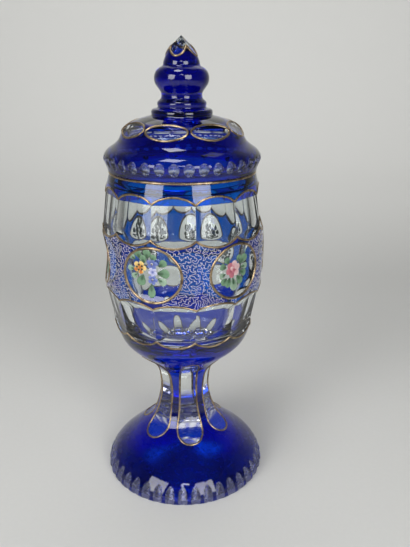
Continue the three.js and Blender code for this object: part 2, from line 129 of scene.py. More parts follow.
# The flutes start at this radius on the table and lean in by this angle
FLUTES = 40
FLUTE_TURN = 1.5
FLUTE_RADIUS, FLUTE_LEAN = 61.9, 15.5

# The two balls of a drop, as (height, lean below the level in degrees, depth, share of the wheel)
DROPS = 36
DROP_BALLS = [(248.6, 24, 0.8, 1), (252.5, -20, 0.5, 0.5)]

# The sections of the flat wheels that cut the cover's windows and the finial's facets, as
# (distance from the axis, height), and half the width of each wheel
WINDOWS = 8
WINDOW_TURN = 6
WINDOW_WHEEL = [(47.2, 262), (27.1, 280.5), (80, 280.5), (80, 262)]
WINDOW_WHEEL_HALF = 15.5
FACETS = 4
FACET_TURN = 2.5
FACET_WHEEL = [(-1.3, 331.5), (17, 309.9), (30, 309.9), (30, 336), (-1.3, 336)]
FACET_WHEEL_HALF = 20

# Where the gold of the rim lies
RIM_LINE_RADIUS, RIM_LINE_HEIGHT = 51.4, 240.7

# The photograph's camera: the azimuth that it faces the goblet from, its place in metres before
# it is turned there, its angles in degrees, and its focal length and frame height in pixels
FACING = 19.5
CAMERA_PLACE = (0.01616, -0.42692, 0.31573)
CAMERA_TILT, CAMERA_ROLL = 19.76, -0.15
FOCAL_PIXELS, FRAME_PIXELS = 600, 547


def linear(code):
    """Red, green and blue of an sRGB hex value, such as #1a2b3c, made linear."""
    parts = [int(code[i:i + 2], 16) / 255 for i in (1, 3, 5)]
    return [p / 12.92 if p <= 0.04045 else ((p + 0.055) / 1.055) ** 2.4 for p in parts]


def shade(code):
    """An sRGB hex value made linear, with the full alpha that colour sockets take."""
    return (*linear(code), 1.0)


class GlassSizes(bpy.types.PropertyGroup):
    """What the glass cutter sets."""

    sides: bpy.props.IntProperty(
        name="Turned sides", description="Facets round each blown blank", default=192, min=48,
        max=256)
    wheel: bpy.props.FloatProperty(
        name="Medallion wheel", description="Radius of the wheel that hollows the medallions",
        default=0.064, min=0.03, max=0.1, unit="LENGTH")
    depth: bpy.props.FloatProperty(
        name="Medallion depth", description="How deep the wheel goes into the belt",
        default=0.0038, min=0.002, max=0.006, unit="LENGTH")
    flute: bpy.props.FloatProperty(
        name="Flute wheel", description="Radius of the rounded edge that cuts the foot's flutes",
        default=0.0044, min=0.003, max=0.008, unit="LENGTH")
    drop: bpy.props.FloatProperty(
        name="Drop wheel", description="Radius of the ball-ended wheel that cuts the cover's drops",
        default=0.007, min=0.005, max=0.009, unit="LENGTH")


class GlassColours(bpy.types.PropertyGroup):
    """What the glass is melted from."""

    crystal: bpy.props.FloatVectorProperty(
        name="Crystal", description="Tint of the clear glass", default=linear("#f6faf9"), size=3,
        min=0, max=1, subtype="COLOR")
    ground: bpy.props.FloatVectorProperty(
        name="Ground crystal", description="Tint of the shallow cuts, with a breath of blue left",
        default=linear("#c3c6ee"), size=3, min=0, max=1, subtype="COLOR")
    cobalt: bpy.props.FloatVectorProperty(
        name="Cobalt", description="Colour that the blue skin of the goblet leaves",
        default=linear("#0004a2"), size=3, min=0, max=1, subtype="COLOR")
    pale_cobalt: bpy.props.FloatVectorProperty(
        name="Thin cobalt", description="Colour of the goblet's skin where the gather ran thin",
        default=linear("#0026be"), size=3, min=0, max=1, subtype="COLOR")
    deep_cobalt: bpy.props.FloatVectorProperty(
        name="Deep cobalt", description="Colour of the thicker skin of the cover and its finial",
        default=linear("#000172"), size=3, min=0, max=1, subtype="COLOR")
    worn_cobalt: bpy.props.FloatVectorProperty(
        name="Thinned cobalt", description="Colour of the collar where the wheel thins its skin",
        default=linear("#0030f2"), size=3, min=0, max=1, subtype="COLOR")


class PainterSizes(bpy.types.PropertyGroup):
    """What the gilder and the enamel painter set."""

    line: bpy.props.FloatProperty(
        name="Gilded line", description="Radius of the raised gold line along the cuts",
        default=0.0008, min=0.0002, max=0.0015, unit="LENGTH")
    scroll: bpy.props.FloatProperty(
        name="Scroll line", description="Radius of the fine line that wanders over the belt",
        default=0.00013, min=0.0001, max=0.0008, unit="LENGTH")
    pitch: bpy.props.FloatProperty(
        name="Scroll pitch", description="Distance from one pass of the fine line to the next",
        default=0.0016, min=0.001, max=0.004, unit="LENGTH")
    margin: bpy.props.FloatProperty(
        name="Scroll margin", description="Bare belt left beside the cuts",
        default=0.0006, min=0.0003, max=0.004, unit="LENGTH")
    seed: bpy.props.IntProperty(
        name="Scroll seed", description="Another number draws another wandering line", default=7,
        min=0)


class PainterColours(bpy.types.PropertyGroup):
    """Gold and enamels."""

    gold: bpy.props.FloatVectorProperty(
        name="Gold", description="Burnished gold of the lines", default=linear("#a99577"), size=3,
        min=0, max=1, subtype="COLOR")
    worn_gold: bpy.props.FloatVectorProperty(
        name="Worn gold", description="Gold where it has been rubbed", default=linear("#6b5947"),
        size=3, min=0, max=1, subtype="COLOR")
    pale_gold: bpy.props.FloatVectorProperty(
        name="Pale gold", description="Paste gold of the fine line on the belt",
        default=linear("#e8e6ea"), size=3, min=0, max=1, subtype="COLOR")


class StageColours(bpy.types.PropertyGroup):
    """Paper and light round the goblet."""

    paper: bpy.props.FloatVectorProperty(
        name="Paper", description="Colour of the floor and the backdrop", default=linear("#d8d8d5"),
        size=3, min=0, max=1, subtype="COLOR")
    window_power: bpy.props.FloatProperty(
        name="Window power", description="Power of each of the two tall window lights",
        default=6.3, min=0, unit="POWER")
    ceiling_power: bpy.props.FloatProperty(
        name="Ceiling power", description="Power of the lamp overhead",
        default=6.3, min=0, unit="POWER")
    paper_power: bpy.props.FloatProperty(
        name="Paper power", description="Power of the lamp that lights the paper behind the goblet",
        default=18.0, min=0, unit="POWER")


def add_node(tree, kind, inputs=None, **settings):
    """Adds a node. An input is a plain value, or the socket that feeds it."""
    node = tree.nodes.new(kind)
    for name, value in settings.items():
        setattr(node, name, value)
    for name, value in (inputs or {}).items():
        if isinstance(value, bpy.types.NodeSocket):
            tree.links.new(value, node.inputs[name])
        else:
            node.inputs[name].default_value = value
    return node


def new_material(name, **values):
    """A material with its Principled shader's own sockets set. Underscores stand for spaces."""
    material = bpy.data.materials.new(name)
    material.use_nodes = True
    shader = material.node_tree.nodes["Principled BSDF"]
    for key, value in values.items():
        shader.inputs[key.replace("_", " ")].default_value = value
    return material, material.node_tree, shader


def two_tones(tree, factor, low, high):
    """A socket whose colour runs from low to high with the factor."""
    ramp = add_node(tree, "ShaderNodeValToRGB", {"Fac": factor})
    ramp.color_ramp.elements[0].color = (*low, 1)
    ramp.color_ramp.elements[1].color = (*high, 1)
    return ramp


def noise(tree, scale, detail=2.0):
    """Noise over the piece, as a fraction; the scale is in waves to the metre."""
    place = add_node(tree, "ShaderNodeTexCoord")
    return add_node(tree, "ShaderNodeTexNoise", {
        "Vector": place.outputs["Object"], "Scale": scale, "Detail": detail}).outputs["Fac"]


def spread(tree, factor, low, high):
    """The factor's middle, from 0.35 to 0.65, spread from low to high."""
    return add_node(tree, "ShaderNodeMapRange", {
        "Value": factor, "From Min": 0.35, "From Max": 0.65, "To Min": low, "To Max": high,
    }).outputs["Result"]


def crystal_glass(colours):
    """Lead crystal, blown, cut and polished: clear, heavy and bright, and never quite flat. Slow
    waves of 12 mm from the blowing bend what stands behind, and handling has left it a little
    dull in places."""
    material, tree, shader = new_material(
        "polished_lead_crystal", Base_Color=(*colours.crystal, 1), Transmission_Weight=1.0,
        IOR=1.54)
    dull = spread(tree, noise(tree, 40, 4), 0.0, 0.03)
    tree.links.new(dull, shader.inputs["Roughness"])
    waves = add_node(tree, "ShaderNodeBump", {
        "Height": noise(tree, 80, 1), "Strength": 0.12, "Distance": 0.0002})
    tree.links.new(waves.outputs["Normal"], shader.inputs["Normal"])
    return material


def ground_glass(colours):
    """Lead crystal as a fine stone leaves it, before the last polish: clear, but so soft that what
    stands behind is a blur, and faintly blue, since so shallow a cut leaves a breath of the skin.
    Stone marks of up to 4 mm make it a little uneven."""
    material, tree, shader = new_material(
        "fine_ground_crystal", Base_Color=(*colours.ground, 1), Transmission_Weight=1.0, IOR=1.54)
    tree.links.new(spread(tree, noise(tree, 250, 3), 0.18, 0.3), shader.inputs["Roughness"])
    return material


def cobalt_casing(name, thick, thin, low=0.0, high=0.0):
    """Crystal flashed with cobalt glass and fire-polished: a deep even blue that light comes
    through. The gather ran thin in slow streaks of 25 mm, and there the blue is paler. With two
    heights, in metres, the glass was blown out wider between them, and is paler all round above."""
    material, tree, shader = new_material(name, Transmission_Weight=1.0, IOR=1.52)
    share = noise(tree, 40, 3)
    if high > low:
        place = add_node(tree, "ShaderNodeTexCoord")
        height = add_node(tree, "ShaderNodeSeparateXYZ", {"Vector": place.outputs["Object"]})
        blown = add_node(tree, "ShaderNodeMapRange", {
            "Value": height.outputs["Z"], "From Min": low, "From Max": high, "To Min": -0.25,
            "To Max": 0.2})
        share = add_node(tree, "ShaderNodeMath", {0: share, 1: blown.outputs["Result"]}).outputs[0]
    streaks = two_tones(tree, share, thick, thin)
    streaks.color_ramp.elements[0].position = 0.4
    streaks.color_ramp.elements[1].position = 0.7
    tree.links.new(streaks.outputs["Color"], shader.inputs["Base Color"])
    dull = spread(tree, noise(tree, 60, 4), 0.0, 0.035)
    tree.links.new(dull, shader.inputs["Roughness"])
    waves = add_node(tree, "ShaderNodeBump", {
        "Height": noise(tree, 70, 1), "Strength": 0.15, "Distance": 0.0003})
    tree.links.new(waves.outputs["Normal"], shader.inputs["Normal"])
    return material


def burnished_gold(colours):
    """Fired gold, laid by brush and burnished: warm and bright on the crown of the line, browner
    and duller where hands have rubbed it. Brush marks of 1.5 mm are drawn twice as coarse as
    real ones, to show at this size."""
    material, tree, shader = new_material("burnished_gold", Metallic=1.0)
    rubbed = noise(tree, 220, 5)
    tones = two_tones(tree, rubbed, colours.worn_gold, colours.gold)
    tones.color_ramp.elements[0].position = 0.32
    tones.color_ramp.elements[1].position = 0.55
    tree.links.new(tones.outputs["Color"], shader.inputs["Base Color"])
    tree.links.new(spread(tree, rubbed, 0.42, 0.22), shader.inputs["Roughness"])
    marks = add_node(tree, "ShaderNodeBump", {
        "Height": noise(tree, 700, 2), "Strength": 0.4, "Distance": 0.0001})
    tree.links.new(marks.outputs["Normal"], shader.inputs["Normal"])
    return material


def paste_gold(colours):
    """Fine lines of pale gold on a white paste ground: almost white where the paste shows,
    yellower where the gold is thick."""
    material, tree, shader = new_material("pale_paste_gold", Metallic=0.35)
    tones = two_tones(tree, noise(tree, 500, 3), colours.gold, colours.pale_gold)
    tones.color_ramp.elements[0].position = 0.3
    tones.color_ramp.elements[1].position = 0.5
    tree.links.new(tones.outputs["Color"], shader.inputs["Base Color"])
    tree.links.new(spread(tree, noise(tree, 300, 2), 0.3, 0.5), shader.inputs["Roughness"])
    return material


def painted_enamel():
    """Fired enamel colours, laid thick with a small brush: satin, a little uneven, each stroke
    darker at its root. The strokes carry their own colours."""
    material, tree, shader = new_material("fired_enamel", Coat_Weight=0.4, Coat_Roughness=0.15)
    strokes = add_node(tree, "ShaderNodeAttribute", attribute_name="paint")
    uneven = two_tones(tree, noise(tree, 900, 3), linear("#c8c8c8"), linear("#ffffff"))
    mixed = add_node(tree, "ShaderNodeMix", {
        0: 1.0, 6: strokes.outputs["Color"], 7: uneven.outputs["Color"],
    }, data_type="RGBA", blend_type="MULTIPLY")
    tree.links.new(mixed.outputs[2], shader.inputs["Base Color"])
    tree.links.new(spread(tree, noise(tree, 400, 2), 0.3, 0.5), shader.inputs["Roughness"])
    ridges = add_node(tree, "ShaderNodeBump", {
        "Height": noise(tree, 1500, 2), "Strength": 0.3, "Distance": 0.0001})
    tree.links.new(ridges.outputs["Normal"], shader.inputs["Normal"])
    return material


def paper_backdrop(paper):
    """Matt paper, sprayed even: a fine tooth, drawn at 3 mm so that it shows, and no shine."""
    material, tree, shader = new_material(
        "matt_backdrop_paper", Roughness=0.95, Specular_IOR_Level=0.1)
    darker = [0.96 * part for part in paper]
    tooth = two_tones(tree, noise(tree, 300, 3), darker, paper)
    tree.links.new(tooth.outputs["Color"], shader.inputs["Base Color"])
    return material


def smoothed(points, steps=3):
    """Points on a smooth curve through the given ones, steps to each stretch."""
    padded = [points[0], *points, points[-1]]
    curve = []
    for a, b, c, d in zip(padded, padded[1:], padded[2:], padded[3:]):
        a, b, c, d = (Vector(p) for p in (a, b, c, d))
        for k in range(steps):
            t = k / steps
            curve.append(0.5 * (2 * b + (c - a) * t + (2 * a - 5 * b + 4 * c - d) * t ** 2
                                + (3 * b - a - 3 * c + d) * t ** 3))
    return [*curve, Vector(points[-1])]


def radius_at(outline, height):
    """The radius of an outline at a height."""
    for (r0, z0), (r1, z1) in zip(outline, outline[1:]):
        if z0 <= height <= z1 and z1 > z0:
            return r0 + (r1 - r0) * (height - z0) / (z1 - z0)
    raise ValueError(f"no radius at {height}")


def turn(bm, outline, sides, material, closed=False):
    """Spins an outline of (radius, height) in millimetres into faces of one material."""
    before = len(bm.faces)
    verts = [bm.verts.new((0, -max(r, 0) * MM, z * MM)) for r, z in outline]
    ends = zip(verts, [*verts[1:], verts[0]] if closed else verts[1:])
    edges = [bm.edges.new(pair) for pair in ends]
    bmesh.ops.spin(bm, geom=[*verts, *edges], axis=(0, 0, 1), cent=(0, 0, 0), steps=sides,
                   angle=math.tau, use_merge=True)
    bm.faces.ensure_lookup_table()
    for face in bm.faces[before:]:
        face.material_index = material


def finish_mesh(bm, name, materials):
    """Closes a bmesh's seams, turns its faces outwards and makes it an object."""
    bmesh.ops.remove_doubles(bm, verts=bm.verts, dist=1e-7)
    bmesh.ops.recalc_face_normals(bm, faces=bm.faces)
    mesh = bpy.data.meshes.new(name)
    bm.to_mesh(mesh)
    bm.free()
    mesh.shade_smooth()
    for material in materials:
        mesh.materials.append(material)
    piece = bpy.data.objects.new(name, mesh)
    bpy.context.scene.collection.objects.link(piece)
    return piece


def wheel(name, materials, build, finish=CRYSTAL):
    """A cutter: build fills its bmesh. Faces that build gave no finish leave this one behind."""
    bm = bmesh.new()
    build(bm)
    for face in bm.faces:
        face.material_index = face.material_index or finish
    return finish_mesh(bm, name, materials)


def slab(bm, profile, half_width, angle):
    """A prism whose section stands in the plane of one radius and which runs across it."""
    spin = Matrix.Rotation(math.radians(angle), 4, "Z")
    verts = [bm.verts.new((-half_width * MM, -r * MM, z * MM)) for r, z in profile]
    face = bm.faces.new(verts)
    grown = bmesh.ops.extrude_face_region(bm, geom=[face])["geom"]
    moved = [v for v in grown if isinstance(v, bmesh.types.BMVert)]
    bmesh.ops.translate(bm, verts=moved, vec=(2 * half_width * MM, 0, 0))
    bmesh.ops.transform(bm, matrix=spin, verts=[*verts, *moved])


def cut(blank, cutters):
    """Grinds each cutter out of the blank, in order, and puts the cutters away."""
    for cutter in cutters:
        grind = blank.modifiers.new(cutter.name, "BOOLEAN")
        grind.operation = "DIFFERENCE"
        grind.solver = "MANIFOLD"
        grind.object = cutter
    graph = bpy.context.evaluated_depsgraph_get()
    ground = bpy.data.meshes.new_from_object(blank.evaluated_get(graph))
    blank.modifiers.clear()
    old, blank.data = blank.data, ground
    ground.name = blank.name
    bpy.data.meshes.remove(old)
    for cutter in cutters:
        bpy.data.meshes.remove(cutter.data)
    bm = bmesh.new()
    bm.from_mesh(ground)
    bmesh.ops.remove_doubles(bm, verts=bm.verts, dist=2e-6)
    bmesh.ops.dissolve_degenerate(bm, edges=bm.edges, dist=1e-6)
    for face in bm.faces:
        face.smooth = True
    for edge in bm.edges:
        first, *rest = [face.material_index for face in edge.link_faces]
        edge.smooth = all(m == first for m in rest) and edge.calc_face_angle(0) < math.radians(24)
    bm.to_mesh(ground)
    bm.free()


def flats(bm, profile):
    """The glass outside twelve flats, from the lowest to the highest point of their profile."""
    corner = 1 / math.cos(math.pi / PANELS)
    inner = [(r * corner, z) for r, z in smoothed(profile, 3)]
    wide = 2 * BELT_RADIUS
    turn(bm, [*inner, (wide, inner[-1][1]), (wide, inner[0][1])], PANELS, CRYSTAL, closed=True)
    for face in bm.faces:
        if face.calc_center_median().z > BEVEL_HEIGHT * MM:
            face.material_index = BEVEL


def medallion_wheels(bm, sizes):
    """Six level wheels, each dipped into the belt."""
    distance = BELT_RADIUS * MM - sizes.depth + sizes.wheel
    for k in range(MEDALLIONS):
        place = Matrix.Rotation(math.tau * k / MEDALLIONS, 4, "Z") @ Matrix.Translation(
            (0, -distance, BELT_Z * MM)) @ Matrix.Rotation(math.pi / 2, 4, "Y")
        bmesh.ops.create_cone(bm, cap_ends=True, segments=144, radius1=sizes.wheel,
                              radius2=sizes.wheel, depth=0.05, matrix=place)


def tongue_slab(bm, outside, angle):
    """One flat cut down the stem, as deep at each height as the tongue's width there asks."""
    profile = []
    for half, z in smoothed(TONGUE, 3):
        radius = radius_at(outside, z)
        profile.append((math.sqrt(radius ** 2 - max(half, 0) ** 2), z))
    (r0, z0), (r1, z1) = profile[0], profile[-1]
    profile = [(r0 + 4, z0 - 2.4), *profile, (r1 + 6, z1 + 2.6), (95, z1 + 2.6), (95, z0 - 2.4)]
    slab(bm, profile, TONGUE_WHEEL_HALF, angle)


def flute_wheels(bm, sizes):
    """Rounded grooves up the edge of the foot, leaning in as the foot does."""
    lean = math.radians(FLUTE_LEAN)
    reach = sizes.flute / MM
    centre = Vector((FLUTE_RADIUS + reach * math.cos(lean), reach * math.sin(lean)))
    stand = Matrix.Translation((0, -centre.x * MM, centre.y * MM)) @ Matrix.Rotation(-lean, 4, "X")
    for k in range(FLUTES):
        spin = Matrix.Rotation(math.radians(FLUTE_TURN) + math.tau * k / FLUTES, 4, "Z")
        bmesh.ops.create_cone(bm, cap_ends=True, segments=28, radius1=sizes.flute,
                              radius2=sizes.flute, depth=0.05, matrix=spin @ stand)


def drop_wheels(bm, sizes, outside, first):
    """Every third drop round the band of the cover: a ball near its foot, a smaller one near its
    tip, and all that lies between them."""
    balls = []
    for height, lean, deep, share in DROP_BALLS:
        radius = share * sizes.drop
        away = radius / MM - deep
        tilt = math.radians(lean)
        across = radius_at(outside, height) + away * math.cos(tilt)
        balls.append((radius, Vector((0, -across, height - away * math.sin(tilt))) * MM))
    for k in range(first, DROPS, 3):
        spin = Matrix.Rotation(math.radians(WINDOW_TURN) + math.tau * k / DROPS, 4, "Z")
        points = []
        for radius, centre in balls:
            place = spin @ Matrix.Translation(centre)
            ball = bmesh.ops.create_icosphere(
                bm, subdivisions=4, radius=radius, matrix=place)["verts"]
            points += [v.co.copy() for v in ball]
            bmesh.ops.delete(bm, geom=ball, context="VERTS")
        hull = bmesh.ops.convex_hull(bm, input=[bm.verts.new(point) for point in points])
        bmesh.ops.delete(bm, geom=hull["geom_interior"], context="VERTS")


def boundary_loops(piece, low, high):
    """The closed lines between skin and cut that lie between two heights, with their normals.
    Each starts at its lowest point and takes the lower way from there, so every run draws the
    same lines."""
    bm = bmesh.new()
    bm.from_mesh(piece.data)
    bm.normal_update()
    marked = set()
    for edge in bm.edges:
        heights = [v.co.z / MM for v in edge.verts]
        cut_sides = sum(f.material_index != COBALT for f in edge.link_faces)
        if cut_sides == 1 and low < min(heights) and max(heights) < high:
            marked.add(edge)

    def rank(vert):
        return tuple(vert.co.zyx)

    loops = []
    for start in sorted({vert for edge in marked for vert in edge.verts}, key=rank):
        here, chain = start, []
        while here is not start or not chain:
            ways = [edge for edge in here.link_edges if edge in marked]
            if not ways:
                break
            edge = min(ways, key=lambda way: rank(way.other_vert(here)))
            marked.discard(edge)
            chain.append(here)
            here = edge.other_vert(here)
        if here is start and len(chain) > 8:
            loops.append([(v.co.copy(), v.normal.copy()) for v in chain])
    bm.free()
    return loops


def evened(loop, step):
    """A closed line's points and normals, set at even distances along it."""
    ends = [*loop, loop[0]]
    lengths = [(b[0] - a[0]).length for a, b in zip(ends, ends[1:])]
    total = sum(lengths)
    count = max(8, round(total / step))
    points, index, walked = [], 0, 0.0
    for k in range(count):
        target = total * k / count
        while walked + lengths[index] < target:
            walked += lengths[index]
            index += 1
        share = (target - walked) / max(lengths[index], 1e-9)
        (a, na), (b, nb) = ends[index], ends[index + 1]
        points.append((a.lerp(b, share), na.lerp(nb, share).normalized()))
    return points


def beads(name, lines, radius, material, rounding):
    """One mesh of raised lines, each a closed run of points."""
    curve = bpy.data.curves.new(name, "CURVE")
    curve.dimensions = "3D"
    curve.bevel_depth = radius
    curve.bevel_resolution = rounding
    for line in lines:
        spline = curve.splines.new("POLY")
        spline.points.add(len(line) - 1)
        for point, place in zip(spline.points, line):
            point.co = (*place, 1)
        spline.use_cyclic_u = True
    drawn = bpy.data.objects.new(name + "_drawn", curve)
    bpy.context.scene.collection.objects.link(drawn)
    graph = bpy.context.evaluated_depsgraph_get()
    mesh = bpy.data.meshes.new_from_object(drawn.evaluated_get(graph))
    bpy.data.objects.remove(drawn)
    bpy.data.curves.remove(curve)
    mesh.name = name
    mesh.materials.clear()
    mesh.materials.append(material)
    mesh.shade_smooth()
    piece = bpy.data.objects.new(name, mesh)
    bpy.context.scene.collection.objects.link(piece)
    return piece


def gild(name, source, low, high, body, nodes, brush=1.0):
    """Lays a raised gold line along every cut of a piece between two heights. The brush is how
    many times the usual line it is wide."""
    radius = brush * bpy.context.scene.goblet_painter.line
    sink = 0.45 * radius
    lines = []
    for loop in boundary_loops(source, low, high):
        lines.append([p - n * sink for p, n in evened(loop, 0.0009)])
    if not lines:
        raise RuntimeError(f"{name}: no cut lies between {low} and {high} mm")
    piece = beads(name, lines, radius, bpy.data.materials["burnished_gold"], 2)
    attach(piece, body)
    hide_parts(*nodes)


def numbered(stem, count):
    """The names of a row of like nodes."""
    return [f"{stem}_{k + 1}" for k in range(count)]


class GOBLET_OT_goblet(bpy.types.Operator):
    """Blow the goblet's blank and cut its panels, medallions, tongues and flutes"""

    bl_idname = "goblet.goblet"
    bl_label = "Goblet"

    def execute(self, context):
        sizes = context.scene.goblet_glass
        colours = context.scene.goblet_glass_colours
        cobalt = cobalt_casing("cobalt_cased_glass", colours.cobalt, colours.pale_cobalt,
                               BLOWN_LOW * MM, BLOWN_HIGH * MM)
        crystal = crystal_glass(colours)
        bevel = cobalt_casing("thinned_cobalt_glass", colours.worn_cobalt, colours.pale_cobalt)
        glass = [cobalt, crystal, bevel, ground_glass(colours)]
        outside = smoothed(GOBLET_OUTSIDE, 2)
        bm = bmesh.new()
        turn(bm, outside, sizes.sides, COBALT)
        turn(bm, [*smoothed(GOBLET_RIM, 2)[:-1], *smoothed(BOWL_HOLLOW, 2)], sizes.sides, CRYSTAL)
        turn(bm, smoothed(FOOT_DISH, 2), sizes.sides, GROUND)
        blank = finish_mesh(bm, "goblet_glass", glass)
        cutters = [
            wheel("upper_flats", glass, lambda bm: flats(bm, UPPER_FLATS)),
            wheel("lower_flats", glass, lambda bm: flats(bm, LOWER_FLATS)),
            wheel("medallion_wheels", glass, lambda bm: medallion_wheels(bm, sizes)),
            *[wheel(f"tongue_wheel_{k}", glass, lambda bm, k=k: tongue_slab(
                bm, outside, TONGUE_TURN + 360 / TONGUES * k)) for k in range(TONGUES)],
            wheel("flute_wheels", glass, lambda bm: flute_wheels(bm, sizes), GROUND),
        ]
        cut(blank, cutters)
        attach(blank, "goblet")
        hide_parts("bowl_crystal", "stem_crystal", "foot_crystal", "rim_collar",
                    "medallion_belt", "bowl_cup", "foot_casing")
        return {"FINISHED"}


class GOBLET_OT_cover(bpy.types.Operator):
    """Blow the cover with its finial and cut its drops, windows and facets"""

    bl_idname = "goblet.cover"
    bl_label = "Cover"

    def execute(self, context):
        sizes = context.scene.goblet_glass
        colours = context.scene.goblet_glass_colours
        cobalt = cobalt_casing("deep_cobalt_cased_glass", colours.deep_cobalt, colours.cobalt)
        glass = [cobalt, bpy.data.materials["polished_lead_crystal"], cobalt,
                 bpy.data.materials["fine_ground_crystal"]]
        outside = smoothed(COVER_OUTSIDE, 2)
        bm = bmesh.new()
        turn(bm, outside, sizes.sides, COBALT)
        turn(bm, smoothed(COVER_INSIDE, 2), sizes.sides, CRYSTAL)
        blank = finish_mesh(bm, "cover_glass", glass)
        windows = [WINDOW_TURN + 360 / WINDOWS * k for k in range(WINDOWS)]
        facets = [FACET_TURN + 360 / FACETS * k for k in range(FACETS)]
        cutters = [
            *[wheel(f"drop_wheels_{k}", glass, lambda bm, k=k: drop_wheels(
                bm, sizes, outside, k), GROUND) for k in range(3)],
            wheel("window_wheels", glass, lambda bm: [
                slab(bm, WINDOW_WHEEL, WINDOW_WHEEL_HALF, angle) for angle in windows]),
            *[wheel(f"facet_wheel_{k}", glass, lambda bm, angle=angle: slab(
                bm, FACET_WHEEL, FACET_WHEEL_HALF, angle)) for k, angle in enumerate(facets)],
        ]
        cut(blank, cutters)
        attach(blank, "cover")
        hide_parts("cover_crystal", "finial_core", "cover_casing", "finial_casing")
        return {"FINISHED"}


class GOBLET_OT_gilding(bpy.types.Operator):
    """Lay the raised gold lines along the cuts of the goblet and the cover"""

    bl_idname = "goblet.gilding"
    bl_label = "Gilded Lines"

    def execute(self, context):
        burnished_gold(context.scene.goblet_painter_colours)
        goblet, cover = bpy.data.objects["goblet_glass"], bpy.data.objects["cover_glass"]
        gild("tongue_lines", goblet, 28, 110, "goblet", numbered("stem_gilding", 6))
        gild("cup_line", goblet, 122, 133, "goblet", ["cup_gilding"])
        gild("belt_lower_line", goblet, 154, 159.3, "goblet", ["belt_lower_gilding"])
        gild("medallion_lines", goblet, 159.3, 199.3, "goblet",
             numbered("medallion_gilding", 6), 1.25)
        gild("belt_upper_line", goblet, 199.3, 206, "goblet", ["belt_upper_gilding"])
        gild("collar_line", goblet, 225, 234, "goblet", ["collar_gilding"])
        gild("cover_window_lines", cover, 262, 279, "cover", numbered("cover_window_gilding", 8))
        gild("finial_line", cover, 308, 328, "cover", ["finial_gilding"])
        sizes = context.scene.goblet_painter
        ring = [Vector((RIM_LINE_RADIUS * math.sin(a), -RIM_LINE_RADIUS * math.cos(a),
                        RIM_LINE_HEIGHT)) * MM for a in (math.tau * k / 240 for k in range(240))]
        rim = beads("rim_line", [ring], 1.2 * sizes.line, bpy.data.materials["burnished_gold"], 2)
        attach(rim, "goblet")
        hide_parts("rim_gilding")
        return {"FINISHED"}


def on_belt(across, height, margin):
    """Whether a point of the unrolled belt, in millimetres, clears the cuts by the margin."""
    step = math.tau * BELT_RADIUS / PANELS
    share = 2 * (across % step) / step - 1
    top = BELT_TOP + BELT_TOP_RISE * share ** 2 - margin
    bottom = BELT_BOTTOM - BELT_BOTTOM_DROP * share ** 2 + margin
    if not bottom < height < top:
        return False
    width = math.tau * BELT_RADIUS / MEDALLIONS
    off = (across + width / 2) % width - width / 2
    x = off / (MEDALLION_HALF_WIDTH + margin)
    z = (height - BELT_Z) / (MEDALLION_HALF_HEIGHT + margin)
    return x ** 2 + z ** 2 > 1


def swayed(across, height):
    """A point of the unrolled belt, moved along slow waves, so that no row runs straight."""
    angle = across / BELT_RADIUS
    wave = math.sin(height / 0.85 + 0.9 * math.sin(48 * angle))
    swell = math.sin(71 * angle + 0.8 * math.sin(height / 1.4))
    return across + 0.45 * wave, height + 0.45 * swell


def wandering_lines(pitch, margin, rng):
    """Closed lines that wander over the belt and never cross: each starts as a small square and
    pushes one side after another into free ground. Points are (column, row) of a grid."""
    columns = round(math.tau * BELT_RADIUS / pitch)
    rows = range(int((BELT_BOTTOM - 5) / pitch), int((BELT_TOP + 6) / pitch) + 1)
    across = math.tau * BELT_RADIUS / columns
    free = {(i, j) for i in range(columns) for j in rows
            if on_belt(*swayed(i * across, j * pitch), margin)}

    def taken(spots):
        return any((i % columns, j) not in free for i, j in spots)

    lines = []
    for start in sorted(free, key=lambda _: rng.random()):
        i, j = start
        line = [(i, j), (i + 1, j), (i + 1, j + 1), (i, j + 1)]
        if taken(line):
            continue
        free -= {(a % columns, b) for a, b in line}
        following = dict(zip(line, [*line[1:], line[0]]))
        sides = list(following)
        while sides:
            a = sides.pop(rng.randrange(len(sides)))
            b = following[a]
            (ai, aj), (bi, bj) = a, b
            out = (bj - aj, ai - bi)
            c, d = (ai + out[0], aj + out[1]), (bi + out[0], bj + out[1])
            if taken([c, d]):
                continue
            free -= {(c[0] % columns, c[1]), (d[0] % columns, d[1])}
            following[a], following[c], following[d] = c, d, b
            sides += [a, c, d]
        point, walked = line[0], []
        while not walked or point != line[0]:
            walked.append(point)
            point = following[point]
        if len(walked) > 8:
            lines.append([(i * across, j * pitch) for i, j in walked])
    return lines


def rounded(line, rng, shift):
    """Nudges a closed line's points by up to shift, bends each side in or out by up to twice as
    much, then takes the corners off twice."""
    line = [Vector((x + rng.uniform(-shift, shift), z + rng.uniform(-shift, shift)))
            for x, z in line]
    bent = []
    for a, b in zip(line, [*line[1:], line[0]]):
        side = b - a
        bow = rng.choice((-1, 1)) * rng.uniform(1, 2) * shift / max(side.length, shift)
        bent += [a, (a + b) / 2 + bow * Vector((side.y, -side.x))]
    line = bent
    for _ in range(2):
        ends = zip(line, [*line[1:], line[0]])
        line = [p for a, b in ends for p in (a.lerp(b, 0.25), a.lerp(b, 0.75))]
    return line


